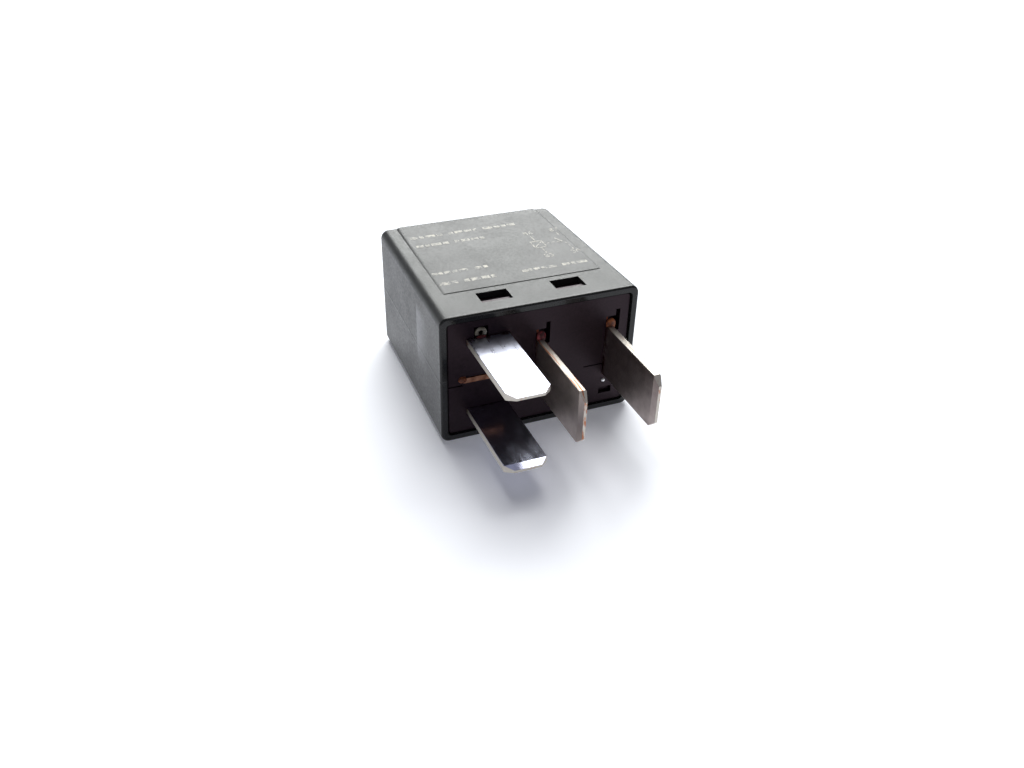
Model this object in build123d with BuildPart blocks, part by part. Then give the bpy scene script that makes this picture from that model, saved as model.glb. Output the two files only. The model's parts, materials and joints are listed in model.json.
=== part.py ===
from build123d import *
import os
from math import cos, radians, sin, sqrt

# A micro relay with four flat blades, one make contact and a latched cover.
# It lies on a broad face, blades towards -Y, label face up. Lengths are in millimetres.
# A depth in this file is measured from the cover's rim towards its closed end, along +Y.

# Cover
cover_width = 23.0
side_draft = 0.4
cover_thick = 15.5
top_draft = 0.25
cover_length = 24.0
cover_wall = 0.75
cover_corner = 1.0
cover_end_round = 0.8
rim_round = 0.25
panel_front = 5.2
panel_margin = 1.6
panel_rise = 0.06
panel_end_rise = 0.14
panel_corner = 1.0
window_width = 3.5
window_depth = 2.05
window_length = 2.2
window_spread = 8.6

# Base
base_recess = 0.25
base_thick = 3.95
base_chamfer = 0.12
fit_gap = 0.05
nose_side_gap = 0.15
nose_inset = 0.25
nose_flat = 0.75
nose_length = 1.6
nose_gap = 0.05
pocket_right = 1.2
pocket_bar = 0.5
pocket_over = 1.2
pocket_above = 1.95
pocket_below = 0.7
pocket_sink = 1.4
low_pocket_drop = 1.75
low_pocket_left = 0.7
low_pocket_right = 0.9
low_pocket_height = 0.85
low_pocket_sink = 0.5
seam_width = 0.16
seam_sink = 0.2
eye_pocket_width = 1.6
eye_pocket_height = 1.25
eye_drop = 0.15
eye_ring = 1.35
eye_bore = 0.6
post_height = 3.4
post_width = 1.4
post_depth = 1.3

# Blades
blade_reach = 11.3
blade_thick = 0.8
wide_blade = 6.3
narrow_blade = 4.8
blade_corner = 0.9
blade_edge = 0.12
shoulder = 0.75
shoulder_depth = 1.5
tip_bevel_length = 0.8
tip_bevel_depth = 0.24
coil_blade_edge = 2.18
coil_blade_spread = 8.76
terminal_30_edge = 2.33
wide_blade_pitch = 8.4
bend_round = 0.7

# Terminals inside
foot_87_depth = 3.0
strip_87_width = 2.3
riser_gap = 0.47
riser_87_below = 1.7
table_87_past = 1.8
table_87_above = 1.85
table_87_step = 0.8
tail_width = 1.0
tail_top = 9.6
tail_root = 3.6
resistor_tail_top = 8.1
stop_thick = 0.6
stop_drop = 0.25
stop_leg_inset = 0.6
stop_leg_width = 4.7
stop_leg_front = 0.1
stop_fold_gap = 0.2
stop_fold_length = 1.4
stop_riser_above = 0.55
stop_riser_width = 4.3
stop_tab_lap = 0.45
stop_gap = 0.03

# Magnet system
yoke_gap = 0.87
flange_gap = 0.3
tail_gap = 0.75
yoke_thick = 1.2
yoke_width = 10.0
yoke_bend = 0.9
hinge_room = 4.25
yoke_foot_past = 3.3
core_tail = 1.3
core_share = 0.227
pole_share = 0.381
pole_thick = 1.0
pole_edge = 0.2
rivet_head_radius = 2.0
rivet_head_thick = 0.7
running_gap = 0.02
flange_thick = 0.9
flange_height = 12.0
flange_corner = 0.8
spool_wall = 0.65
spool_gap = 0.05
winding_inset = 0.3
winding_gap = 0.05
winding_round = 0.4
notch_width = 0.7
notch_length = 1.0
notch_spread = 7.6

# Armature and contacts
open_angle = 2.6
armature_thick = 1.0
armature_past = 1.6
armature_width = 9.4
armature_nose = 6.4
ear_length = 0.9
ear_slot = 5.4
leaf_thick = 0.22
leaf_gap = 0.01
leaf_width = 4.8
leaf_tip_width = 4.0
leaf_foot_width = 7.0
leaf_foot_below = 2.2
leaf_foot_above = 2.4
leaf_bend = 0.85
leaf_tip_past = 1.55
contact_reach = 2.3
contact_radius = 1.3
contact_thick = 0.6
contact_shank = 0.7
contact_top_radius = 0.9
contact_top_thick = 0.3
contact_dome = 0.25
fixed_contact_thick = 0.7
fixed_tail_radius = 1.1
fixed_tail_thick = 0.35
armature_rivet_start = 4.4
armature_rivet_step = 4.4
small_rivet_radius = 0.75
small_rivet_head = 1.2
small_rivet_head_thick = 0.35
small_rivet_sink = 0.45
yoke_rivet_head_thick = 0.27
yoke_rivet_below = 6.2
yoke_rivet_spread = 4.0

# Coil wiring and the suppression resistor
resistor_aside = 0.95
resistor_gap = 0.6
resistor_length = 6.2
resistor_radius = 1.1
resistor_cap_radius = 1.2
resistor_cap_length = 1.1
resistor_lead_radius = 0.27
resistor_lead_past = 0.5
lead_thick = 0.24
wrap_turns = 3
wrap_depth = 7.4
solder_over = 0.25

# Worked-out places
cover_end_width = cover_width - 2 * side_draft
cover_end_thick = cover_thick - top_draft
rim_y = -(cover_length - blade_reach) / 2
tip_y = rim_y - blade_reach
mid_z = cover_thick / 2


def cover_width_at(depth):
    return cover_width + (cover_end_width - cover_width) * depth / cover_length


def cover_thick_at(depth):
    return cover_thick + (cover_end_thick - cover_thick) * depth / cover_length


base_back = base_recess + base_thick
base_width = cover_width_at(base_back) - 2 * (cover_wall + fit_gap)
base_low = cover_wall + fit_gap
base_high = cover_thick_at(base_back) - cover_wall - fit_gap
inner_end = cover_length - cover_wall
inner_half = cover_width_at(inner_end) / 2 - cover_wall

# Blades, placed from the base's sides
terminal_30_x = base_width / 2 - terminal_30_edge
terminal_87_x = terminal_30_x - wide_blade_pitch
coil_blade_x = coil_blade_edge + narrow_blade / 2 - base_width / 2
coil_blade_low = mid_z - coil_blade_spread / 2
coil_blade_high = mid_z + coil_blade_spread / 2
wide_low = mid_z - wide_blade / 2
wide_high = mid_z + wide_blade / 2
coil_tail_x = coil_blade_x + narrow_blade / 2 - tail_width - stop_gap
resistor_x = coil_blade_x - resistor_aside
riser_x = riser_gap + blade_thick / 2 - inner_half
riser_87_low = wide_low - riser_87_below
table_87_top = mid_z + table_87_above
stop_leg_left = riser_x + stop_leg_inset
stop_leg_right = stop_leg_left + stop_leg_width
stop_z = mid_z - stop_drop
stop_fold_front = base_back + stop_fold_gap
stop_fold_back = stop_fold_front + stop_fold_length
stop_riser_low = mid_z + stop_riser_above
stop_riser_high = stop_riser_low + stop_riser_width
resistor_depth = stop_fold_back + resistor_gap + resistor_cap_radius

# Magnet system, stacked on the base and placed from the cover's right wall
foot_30_back = base_back + blade_thick
yoke_foot_back = foot_30_back + yoke_thick
yoke_back_x = inner_half - yoke_gap
flange_right = yoke_back_x - yoke_thick - flange_gap
flange_left = coil_tail_x + tail_width + tail_gap
flange_width = flange_right - flange_left
coil_x = (flange_left + flange_right) / 2
winding_radius = flange_width / 2 - winding_inset
core_radius = flange_width * core_share
pole_radius = flange_width * pole_share
spool_radius = core_radius + spool_gap + spool_wall
yoke_foot_left = coil_x - yoke_foot_past
yoke_top_depth = inner_end - hinge_room
pole_back = yoke_top_depth
spool_back = pole_back - pole_thick
yoke_rivet_depth = yoke_top_depth - yoke_rivet_below
leaf_foot_depth = yoke_rivet_depth - leaf_foot_below
leaf_foot_top = yoke_rivet_depth + leaf_foot_above

# Armature and contacts
hinge_depth = yoke_top_depth + running_gap
armature_length = yoke_back_x - coil_x + pole_radius + armature_past
armature_rivet_places = (-armature_rivet_start, -armature_rivet_start - armature_rivet_step)
leaf_start = armature_thick + leaf_gap
leaf_top = leaf_start + leaf_thick
contact_x = riser_x + contact_reach
leaf_tip_x = contact_x - leaf_tip_past
stop_tab_end = leaf_tip_x + stop_tab_lap
table_87_end = contact_x + table_87_past
moving_face = leaf_start - contact_thick
fixed_face_depth = hinge_depth + moving_face - stop_gap
table_back = fixed_face_depth - fixed_contact_thick


def section(depth):
    """The plane square to the blades at this depth, X to the right and Z up."""
    return Plane.XZ.offset(-(rim_y + depth))


def drafted_box(front, back, inset, low, rise, end_rise):
    """A box with the cover's draft: sides the inset in, top the rises above the cover's."""
    half_front = cover_width_at(front) / 2 - inset
    half_back = cover_width_at(back) / 2 - inset
    with BuildPart() as box:
        with BuildSketch(Plane.YZ.offset(-cover_width)):
            with BuildLine():
                Polyline(
                    (rim_y + front, low),
                    (rim_y + back, low),
                    (rim_y + back, cover_thick_at(back) + end_rise),
                    (rim_y + front, cover_thick_at(front) + rise),
                    close=True,
                )
            make_face()
        extrude(amount=2 * cover_width)
        with BuildSketch():
            with BuildLine():
                Polyline(
                    (-half_front, rim_y + front),
                    (half_front, rim_y + front),
                    (half_back, rim_y + back),
                    (-half_back, rim_y + back),
                    close=True,
                )
            make_face()
        extrude(amount=2 * cover_thick, mode=Mode.INTERSECT)
    return box


def strip(points, bend, thick, low, high):
    """A folded strip: its line seen along Z, its thickness, and its lower and upper edge."""
    with BuildSketch(Plane.XY.offset(low)) as edge_view:
        with BuildLine():
            FilletPolyline(*points, radius=bend)
        trace(line_width=thick)
    extrude(edge_view.sketch, amount=high - low)


def slab(left, right, front, back, low, high, mode=Mode.ADD):
    """A straight-sided block between two X places, two depths and two heights."""
    with BuildSketch(section(front)) as block:
        with Locations(((left + right) / 2, (low + high) / 2)):
            Rectangle(right - left, high - low)
    extrude(block.sketch, amount=front - back, mode=mode)


# Armature plane: its origin is on the hinge line, x runs to the right, and its normal is the
# way out of the magnet. At rest the armature stands open by open_angle.
hinge_y = rim_y + hinge_depth
tilt_sin = sin(radians(open_angle))
tilt_cos = cos(radians(open_angle))
armature_plane = Plane(
    origin=(yoke_back_x, hinge_y, mid_z),
    x_dir=(tilt_cos, -tilt_sin, 0),
    z_dir=(tilt_sin, tilt_cos, 0),
)


def on_armature(along, out):
    """A point in X and Y, given along the armature and out from its inner face."""
    return (
        yoke_back_x + along * tilt_cos + out * tilt_sin,
        hinge_y - along * tilt_sin + out * tilt_cos,
    )


# The cover's body, its inside, and the label panel that runs over its closed end
cover_body = drafted_box(0, cover_length, 0, 0, 0, 0)
with cover_body:
    fillet(cover_body.edges().group_by(Axis.Y)[1], radius=cover_corner)
    fillet(cover_body.faces().sort_by(Axis.Y)[-1].edges(), radius=cover_end_round)
    fillet(cover_body.faces().sort_by(Axis.Y)[0].edges(), radius=rim_round)
hollow = drafted_box(0, inner_end, cover_wall, cover_wall, -cover_wall, -cover_wall)
with hollow:
    fillet(hollow.edges().group_by(Axis.Y)[1], radius=cover_corner / 2)
panel = drafted_box(panel_front, cover_length, panel_margin, mid_z, panel_rise, panel_end_rise)
with panel:
    panel_end = panel.faces().sort_by(Axis.Y)[-1]
    fillet(panel_end.edges().filter_by(Axis.Z), radius=panel_corner)
    panel_end = panel.faces().sort_by(Axis.Y)[-1]
    fillet(panel_end.edges().sort_by(Axis.Z)[-1], radius=cover_end_round)

# Cover: the body with its panel, hollowed from the rim, with four snap windows
with BuildPart() as cover:
    add(cover_body.part)
    add(panel.part)
    add(hollow.part, mode=Mode.SUBTRACT)
    with BuildSketch(Plane.XY.offset(-cover_wall)):
        with Locations((0, rim_y + window_depth + window_length / 2)):
            with GridLocations(window_spread, 0, 2, 1):
                Rectangle(window_width, window_length)
    extrude(amount=cover_thick + 3 * cover_wall, mode=Mode.SUBTRACT)
cover.part.label = "cover"

# Base: a plate a little inside the rim, with slots, pockets, snap noses and corner posts
nose_height = cover_wall + fit_gap - nose_inset
nose_front = rim_y + window_depth + nose_gap
nose_back = nose_front + nose_length
slot_grow = 2 * fit_gap


def base_cut(x, z, width, height, front, back):
    """A rectangular cut in the base, centred on x and z."""
    slab(x - width / 2, x + width / 2, front, back, z - height / 2, z + height / 2,
         mode=Mode.SUBTRACT)


with BuildPart() as base:
    with BuildSketch(section(base_recess)):
        with Locations((0, (base_low + base_high) / 2)):
            RectangleRounded(base_width, base_high - base_low, cover_corner / 2)
    extrude(amount=-base_thick)
    chamfer(base.faces().sort_by(Axis.Y)[0].edges(), length=base_chamfer)

    # Snap noses: the steep side bears on the window's edge, the slope leads in
    for surface, height in ((base_high, nose_height), (base_low, -nose_height)):
        for side in (-1, 1):
            nose_left = side * window_spread / 2 - window_width / 2 + nose_side_gap
            with BuildSketch(Plane.YZ.offset(nose_left)):
                with BuildLine():
                    Polyline(
                        (nose_front, surface - height),
                        (nose_front, surface + height),
                        (nose_front + nose_flat, surface + height),
                        (nose_back, surface),
                        (nose_back, surface - height),
                        close=True,
                    )
                make_face()
            extrude(amount=window_width - 2 * nose_side_gap)

    # Corner posts beside the yoke
    post_right = base_width / 2 - cover_corner / 2
    for post_low in (base_low, base_high - post_depth):
        slab(post_right - post_width, post_right, base_back, base_back + post_height,
             post_low, post_low + post_depth)

    # Pocket with a moulded eye over the root of the upper coil blade
    eye_x = coil_blade_x - narrow_blade / 2 + eye_pocket_width / 2 + blade_thick
    eye_pocket_z = coil_blade_high + blade_thick / 2 + eye_pocket_height / 2
    base_cut(eye_x, eye_pocket_z, eye_pocket_width, eye_pocket_height,
             0, base_recess + pocket_sink)
    with BuildSketch(section(base_recess + pocket_sink)):
        with Locations((eye_x, eye_pocket_z - eye_drop)):
            Circle(eye_ring / 2)
            Circle(eye_bore / 2, mode=Mode.SUBTRACT)
    extrude(amount=pocket_sink - base_chamfer)

    # Slots for the two wide blades and their shoulders, with a pocket over the top of each
    for blade_x in (terminal_30_x, terminal_87_x):
        blade_left = blade_x - blade_thick / 2 - fit_gap
        base_cut(blade_x, mid_z, blade_thick + slot_grow, wide_blade + slot_grow, 0, base_back)
        base_cut(blade_x, mid_z, blade_thick + slot_grow, wide_blade + 2 * shoulder + slot_grow,
                 shoulder_depth - fit_gap, base_back)
        pocket_end = blade_x + pocket_right
        slab(blade_left, pocket_end, 0, base_recess + pocket_sink,
             wide_high - pocket_below, wide_high + pocket_over, mode=Mode.SUBTRACT)
        slab(pocket_end - pocket_bar, pocket_end, 0, base_recess + pocket_sink,
             wide_high - pocket_below, wide_high + pocket_above, mode=Mode.SUBTRACT)
    # A shallow pocket below the slot of terminal 30
    low_pocket_top = wide_low - low_pocket_drop
    slab(terminal_30_x - low_pocket_left, terminal_30_x + low_pocket_right, 0,
         base_recess + low_pocket_sink, low_pocket_top - low_pocket_height, low_pocket_top,
         mode=Mode.SUBTRACT)
    base_cut(terminal_30_x - blade_thick / 2, mid_z, blade_thick,
             wide_blade + 2 * shoulder + slot_grow, base_back - bend_round / 2, base_back)

    # Slots for the two coil blades and the unused fifth place
    for blade_z in (coil_blade_low, coil_blade_high):
        base_cut(coil_blade_x, blade_z, narrow_blade + slot_grow, blade_thick + slot_grow,
                 0, base_back)
    stop_middle = (stop_leg_left + stop_leg_right) / 2
    base_cut(stop_middle, stop_z, stop_leg_right - stop_leg_left + slot_grow,
             stop_thick + slot_grow, 0, base_back)

    # Channel for the foot of terminal 87 and the recess for the core's headed tail
    channel_left = riser_x - blade_thick / 2 - fit_gap
    channel_right = terminal_87_x + blade_thick / 2 + fit_gap
    slab(channel_left, channel_right, foot_87_depth - fit_gap, base_back,
         wide_low - fit_gap, wide_low + strip_87_width + fit_gap, mode=Mode.SUBTRACT)
    slab(terminal_87_x - blade_thick, channel_right, foot_87_depth - bend_round / 2, base_back,
         wide_low - fit_gap, wide_low + strip_87_width + fit_gap, mode=Mode.SUBTRACT)
    with BuildSketch(section(base_back)):
        with Locations((coil_x, mid_z)):
            Circle(rivet_head_radius + bend_round / 2)
    extrude(amount=rivet_head_thick + fit_gap, mode=Mode.SUBTRACT)

    # Shallow mould seams in the front face
    seam_left = -base_width / 2
    slab(seam_left, stop_leg_left, 0, base_recess + seam_sink,
         mid_z - blade_thick - seam_width, mid_z - blade_thick, mode=Mode.SUBTRACT)
    slab(terminal_87_x + 3 * blade_thick + wide_blade / 2, terminal_30_x, 0,
         base_recess + seam_sink, mid_z - 2 * blade_thick - seam_width, mid_z - 2 * blade_thick,
         mode=Mode.SUBTRACT)
base.part.label = "base"


def bevel_upright_tip(x):
    """The two bevels that thin an upright blade at its tip."""
    for side in (-1, 1):
        face_x = x + side * blade_thick / 2
        with BuildSketch(Plane.XY.offset(wide_low - blade_thick)) as wedge:
            with BuildLine():
                Polyline(
                    (face_x, tip_y + tip_bevel_length),
                    (face_x + side * blade_thick, tip_y + tip_bevel_length),
                    (face_x + side * blade_thick, tip_y - blade_thick),
                    (face_x - side * tip_bevel_depth, tip_y - blade_thick),
                    (face_x - side * tip_bevel_depth, tip_y),
                    close=True,
                )
            make_face()
        extrude(wedge.sketch, amount=wide_blade + 2 * blade_thick, mode=Mode.SUBTRACT)


def upright_blade(x, back):
    """A wide blade on edge, from its tip to this depth."""
    with BuildSketch(Plane.YZ.offset(x - blade_thick / 2)) as flat:
        with Locations((tip_y, mid_z)):
            Rectangle(blade_reach + back, wide_blade, align=(Align.MIN, Align.CENTER))
        chamfer(vertices().group_by(Axis.X)[0], length=blade_corner)
    extrude(flat.sketch, amount=blade_thick)
    with BuildSketch(section(-blade_reach)) as rounded:
        with Locations((x, mid_z)):
            RectangleRounded(blade_thick, wide_blade, blade_edge)
    extrude(rounded.sketch, amount=-blade_reach - back, mode=Mode.INTERSECT)
    bevel_upright_tip(x)
    slab(x - blade_thick / 2, x + blade_thick / 2, shoulder_depth, back,
         wide_low - shoulder, wide_high + shoulder)


# Terminal 30: an upright blade whose foot is folded under the yoke and riveted with the core
foot_line = rim_y + base_back + blade_thick / 2
with BuildPart() as terminal_30:
    upright_blade(terminal_30_x, base_back - bend_round)
    strip(((terminal_30_x, rim_y + base_recess), (terminal_30_x, foot_line),
           (coil_x - rivet_head_radius, foot_line)), bend_round, blade_thick, wide_low, wide_high)
    foot_end = terminal_30.edges().filter_by(Axis.Y).group_by(Axis.X)[0]
    fillet(foot_end, radius=rivet_head_radius)
    with BuildSketch(section(base_back)):
        with Locations((coil_x, mid_z)):
            Circle(core_tail + running_gap)
    extrude(amount=-blade_thick, mode=Mode.SUBTRACT)
terminal_30.part.label = "terminal_30"

# Terminal 87: an upright blade, a foot along its channel, a riser at the wall and a contact table
table_line = rim_y + table_back - blade_thick / 2
foot_87_line = rim_y + foot_87_depth + blade_thick / 2
with BuildPart() as terminal_87:
    upright_blade(terminal_87_x, foot_87_depth - bend_round)
    strip(((terminal_87_x, rim_y + base_recess), (terminal_87_x, foot_87_line),
           (riser_x, foot_87_line), (riser_x, rim_y + base_back + bend_round)),
          bend_round, blade_thick, wide_low, wide_low + strip_87_width)
    strip(((riser_x, rim_y + base_back + bend_round / 2), (riser_x, table_line),
           (table_87_end, table_line)),
          bend_round, blade_thick, riser_87_low, wide_low + strip_87_width)
    slab(riser_x + table_87_step, table_87_end, table_back - blade_thick, table_back,
         riser_87_low, table_87_top)
    with BuildSketch(section(table_back)):
        with Locations((contact_x, mid_z)):
            Circle(contact_shank + running_gap)
    extrude(amount=blade_thick, mode=Mode.SUBTRACT)
terminal_87.part.label = "terminal_87"


def coil_terminal(z):
    """A flat narrow blade with a tail for the coil wire and a forked tail for the resistor."""
    low = z - blade_thick / 2
    blade_left = coil_blade_x - narrow_blade / 2
    with BuildPart() as terminal:
        with BuildSketch(Plane.XY.offset(low)):
            with Locations((coil_blade_x, tip_y)):
                Rectangle(narrow_blade, blade_reach + tail_root, align=(Align.CENTER, Align.MIN))
            chamfer(vertices().group_by(Axis.Y)[0], length=blade_corner)
        extrude(amount=blade_thick)
        with BuildSketch(section(-blade_reach)):
            with Locations((coil_blade_x, z)):
                RectangleRounded(narrow_blade, blade_thick, blade_edge)
        extrude(amount=-blade_reach - tail_root, mode=Mode.INTERSECT)
        with BuildSketch(Plane.XY.offset(low)):
            with Locations((coil_tail_x, rim_y + tail_root)):
                Rectangle(tail_width, tail_top - tail_root, align=(Align.MIN, Align.MIN))
            with Locations((resistor_x, rim_y + tail_root)):
                Rectangle(tail_width + blade_thick, resistor_tail_top - tail_root,
                          align=(Align.CENTER, Align.MIN))
            with Locations((resistor_x, rim_y + resistor_depth)):
                Circle(resistor_lead_radius + fit_gap / 2, mode=Mode.SUBTRACT)
                Rectangle(2 * resistor_lead_radius + fit_gap, tail_width,
                          align=(Align.CENTER, Align.MIN), mode=Mode.SUBTRACT)
        extrude(amount=blade_thick)
        for side in (-1, 1):
            face_z = z + side * blade_thick / 2
            with BuildSketch(Plane.YZ.offset(blade_left - blade_thick)):
                with BuildLine():
                    Polyline(
                        (tip_y + tip_bevel_length, face_z),
                        (tip_y + tip_bevel_length, face_z + side * blade_thick),
                        (tip_y - blade_thick, face_z + side * blade_thick),
                        (tip_y - blade_thick, face_z - side * tip_bevel_depth),
                        (tip_y, face_z - side * tip_bevel_depth),
                        close=True,
                    )
                make_face()
            extrude(amount=narrow_blade + 2 * blade_thick, mode=Mode.SUBTRACT)
    return terminal


terminal_85 = coil_terminal(coil_blade_high)
terminal_85.part.label = "terminal_85"
terminal_86 = coil_terminal(coil_blade_low)
terminal_86.part.label = "terminal_86"

# Stop strip: a leg in the unused slot, folded to a riser whose tab holds the open leaf
leaf_tip_along = (leaf_tip_x - yoke_back_x) / tilt_cos
leaf_tip_top = on_armature(leaf_tip_along, leaf_top)[1]
stop_line = leaf_tip_top + stop_gap + stop_thick / 2
with BuildPart() as stop_strip:
    slab(stop_leg_left, stop_leg_right, stop_leg_front, stop_fold_back,
         stop_z - stop_thick / 2, stop_z + stop_thick / 2)
    with BuildSketch(section(stop_fold_front)):
        with BuildLine():
            FilletPolyline((stop_leg_left + blade_thick, stop_z), (riser_x, stop_z),
                           (riser_x, stop_riser_high), radius=bend_round)
        trace(line_width=stop_thick)
    extrude(amount=stop_fold_front - stop_fold_back)
    strip(((riser_x, rim_y + stop_fold_front), (riser_x, stop_line), (stop_tab_end, stop_line)),
          bend_round, stop_thick, stop_riser_low, stop_riser_high)
stop_strip.part.label = "stop_strip"

# Yoke: a bent iron angle, its foot riveted to the core and its leg ending in the hinge edge
leg_line = yoke_back_x - yoke_thick / 2
yoke_foot_line = rim_y + foot_30_back + yoke_thick / 2
with BuildPart() as yoke:
    strip(((yoke_foot_left, yoke_foot_line), (leg_line, yoke_foot_line),
           (leg_line, rim_y + yoke_top_depth)),
          yoke_bend, yoke_thick, mid_z - yoke_width / 2, mid_z + yoke_width / 2)
    foot_edges = yoke.edges().filter_by(Axis.Y).group_by(Axis.X)[0]
    fillet(foot_edges, radius=rivet_head_radius)
    with BuildSketch(section(foot_30_back)):
        with Locations((coil_x, mid_z)):
            Circle(core_tail + running_gap)
    extrude(amount=-yoke_thick, mode=Mode.SUBTRACT)
    with BuildSketch(Plane.YZ.offset(yoke_back_x)):
        with Locations((rim_y + yoke_rivet_depth, mid_z)):
            with GridLocations(0, yoke_rivet_spread, 1, 2):
                Circle(small_rivet_radius + running_gap)
    extrude(amount=-yoke_thick, mode=Mode.SUBTRACT)
yoke.part.label = "yoke"

# Core: pole disc, shank through the bobbin, and a tail through yoke and terminal, headed over
with BuildPart() as core:
    with BuildSketch(Plane.XY.offset(mid_z)):
        with BuildLine():
            Polyline(
                (coil_x, rim_y + base_back - rivet_head_thick),
                (coil_x + rivet_head_radius - pole_edge, rim_y + base_back - rivet_head_thick),
                (coil_x + rivet_head_radius, rim_y + base_back - rivet_head_thick + pole_edge),
                (coil_x + rivet_head_radius, rim_y + base_back),
                (coil_x + core_tail, rim_y + base_back),
                (coil_x + core_tail, rim_y + yoke_foot_back),
                (coil_x + core_radius, rim_y + yoke_foot_back),
                (coil_x + core_radius, rim_y + spool_back),
                (coil_x + pole_radius, rim_y + spool_back),
                (coil_x + pole_radius, rim_y + pole_back - pole_edge),
                (coil_x + pole_radius - pole_edge, rim_y + pole_back),
                (coil_x, rim_y + pole_back),
                close=True,
            )
        make_face()
    revolve(axis=Axis((coil_x, 0, mid_z), (0, 1, 0)))
core.part.label = "core"

# Bobbin: two flanges on a tube, notched where the wire leaves
spool_length = spool_back - yoke_foot_back
with BuildPart() as bobbin:
    with BuildSketch(section(yoke_foot_back), section(spool_back - flange_thick)):
        with Locations((coil_x, mid_z)):
            RectangleRounded(flange_width, flange_height, flange_corner)
    extrude(amount=-flange_thick)
    with BuildSketch(section(yoke_foot_back)):
        with Locations((coil_x, mid_z)):
            Circle(spool_radius)
    extrude(amount=-spool_length)
    with BuildSketch(section(yoke_foot_back)):
        with Locations((coil_x, mid_z)):
            Circle(core_radius + spool_gap)
    extrude(amount=-spool_length, mode=Mode.SUBTRACT)
    with BuildSketch(section(yoke_foot_back)):
        with Locations((coil_x - flange_width / 2, mid_z)):
            with GridLocations(0, notch_spread, 1, 2):
                SlotCenterToCenter(notch_length, notch_width)
    extrude(amount=-flange_thick, mode=Mode.SUBTRACT)
bobbin.part.label = "bobbin"

# Winding: the wound copper as one ring, rounded where its last layer drops to the flanges
with BuildPart() as winding:
    with BuildSketch(section(yoke_foot_back + flange_thick + winding_gap)):
        with Locations((coil_x, mid_z)):
            Circle(winding_radius)
            Circle(spool_radius + winding_gap, mode=Mode.SUBTRACT)
    extrude(amount=-(spool_length - 2 * flange_thick - 2 * winding_gap))
    outer_rings = winding.edges().filter_by(GeomType.CIRCLE).sort_by(SortBy.RADIUS)[-2:]
    fillet(outer_rings, radius=winding_round)
winding.part.label = "winding"

# Armature: a plate with two ears that rock on the yoke's edge, slotted where the leaf bends down
with BuildPart() as armature:
    with BuildSketch(armature_plane):
        with BuildLine():
            Polyline(
                (0, -armature_width / 2),
                (0, armature_width / 2),
                (-armature_length + ear_length, armature_width / 2),
                (-armature_length, armature_nose / 2),
                (-armature_length, -armature_nose / 2),
                (-armature_length + ear_length, -armature_width / 2),
                close=True,
            )
        make_face()
        Rectangle(2 * ear_length, ear_slot, mode=Mode.SUBTRACT)
    extrude(amount=armature_thick)
    with BuildSketch(armature_plane):
        with Locations(*[(place, 0) for place in armature_rivet_places]):
            Circle(small_rivet_radius + running_gap)
    extrude(amount=armature_thick, mode=Mode.SUBTRACT)
    inner_rings = [ring for ring in armature.edges().filter_by(GeomType.CIRCLE)
                   if abs(armature_plane.to_local_coords(ring.arc_center).Z) < running_gap]
    chamfer(inner_rings, length=small_rivet_sink)
armature.part.label = "armature"

# Contact spring: one leaf from the yoke's back, round the hinge, to the moving contact
leaf_line_x = yoke_back_x + leaf_gap + leaf_thick / 2
leaf_middle = leaf_start + leaf_thick / 2
arm_start = on_armature(0, leaf_middle)
arm_corner = (leaf_line_x, arm_start[1] - (leaf_line_x - arm_start[0]) * tilt_sin / tilt_cos)
arm_tip = on_armature(leaf_tip_along, leaf_middle)
with BuildPart() as contact_spring:
    strip(((leaf_line_x, rim_y + leaf_foot_depth), arm_corner, arm_tip),
          leaf_bend, leaf_thick, mid_z - leaf_width / 2, mid_z + leaf_width / 2)
    with BuildSketch(Plane.YZ.offset(yoke_back_x + leaf_gap)):
        with Locations((rim_y + leaf_foot_depth, mid_z)):
            Rectangle(leaf_foot_top - leaf_foot_depth, leaf_foot_width,
                      align=(Align.MIN, Align.CENTER))
        fillet(vertices(), radius=bend_round)
    extrude(amount=leaf_thick)
    with BuildSketch(Plane.YZ.offset(yoke_back_x)):
        with Locations((rim_y + yoke_rivet_depth, mid_z)):
            with GridLocations(0, yoke_rivet_spread, 1, 2):
                Circle(small_rivet_radius + running_gap)
    extrude(amount=2 * leaf_thick, mode=Mode.SUBTRACT)
    contact_along = (contact_x - yoke_back_x) / tilt_cos
    with BuildSketch(armature_plane.offset(armature_thick)):
        with Locations(*[(place, 0) for place in armature_rivet_places]):
            Circle(small_rivet_radius + running_gap)
        with Locations((contact_along, 0)):
            Circle(contact_shank + running_gap)
    extrude(amount=2 * leaf_thick, mode=Mode.SUBTRACT)
    with BuildSketch(armature_plane.offset(armature_thick)):
        for side in (-1, 1):
            with BuildLine():
                Polyline(
                    (-armature_length, side * leaf_width / 2),
                    (-armature_length - ear_length, side * leaf_tip_width / 2),
                    (leaf_tip_along - ear_length, side * leaf_tip_width / 2),
                    (leaf_tip_along - ear_length, side * leaf_width),
                    (-armature_length, side * leaf_width),
                    close=True,
                )
            make_face()
    extrude(amount=2 * leaf_thick, mode=Mode.SUBTRACT)
contact_spring.part.label = "contact_spring"


# Armature rivets: flush in the armature's inner face, headed over the leaf
with BuildPart(armature_plane) as armature_rivets:
    with Locations(*[(place, 0, 0) for place in armature_rivet_places]):
        Cone(small_rivet_radius + small_rivet_sink, small_rivet_radius, small_rivet_sink,
             align=(Align.CENTER, Align.CENTER, Align.MIN))
        Cylinder(small_rivet_radius, leaf_top, align=(Align.CENTER, Align.CENTER, Align.MIN))
    with Locations(*[(place, 0, leaf_top) for place in armature_rivet_places]):
        Cylinder(small_rivet_head, small_rivet_head_thick,
                 align=(Align.CENTER, Align.CENTER, Align.MIN))
armature_rivets.part.label = "armature_rivets"

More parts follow.
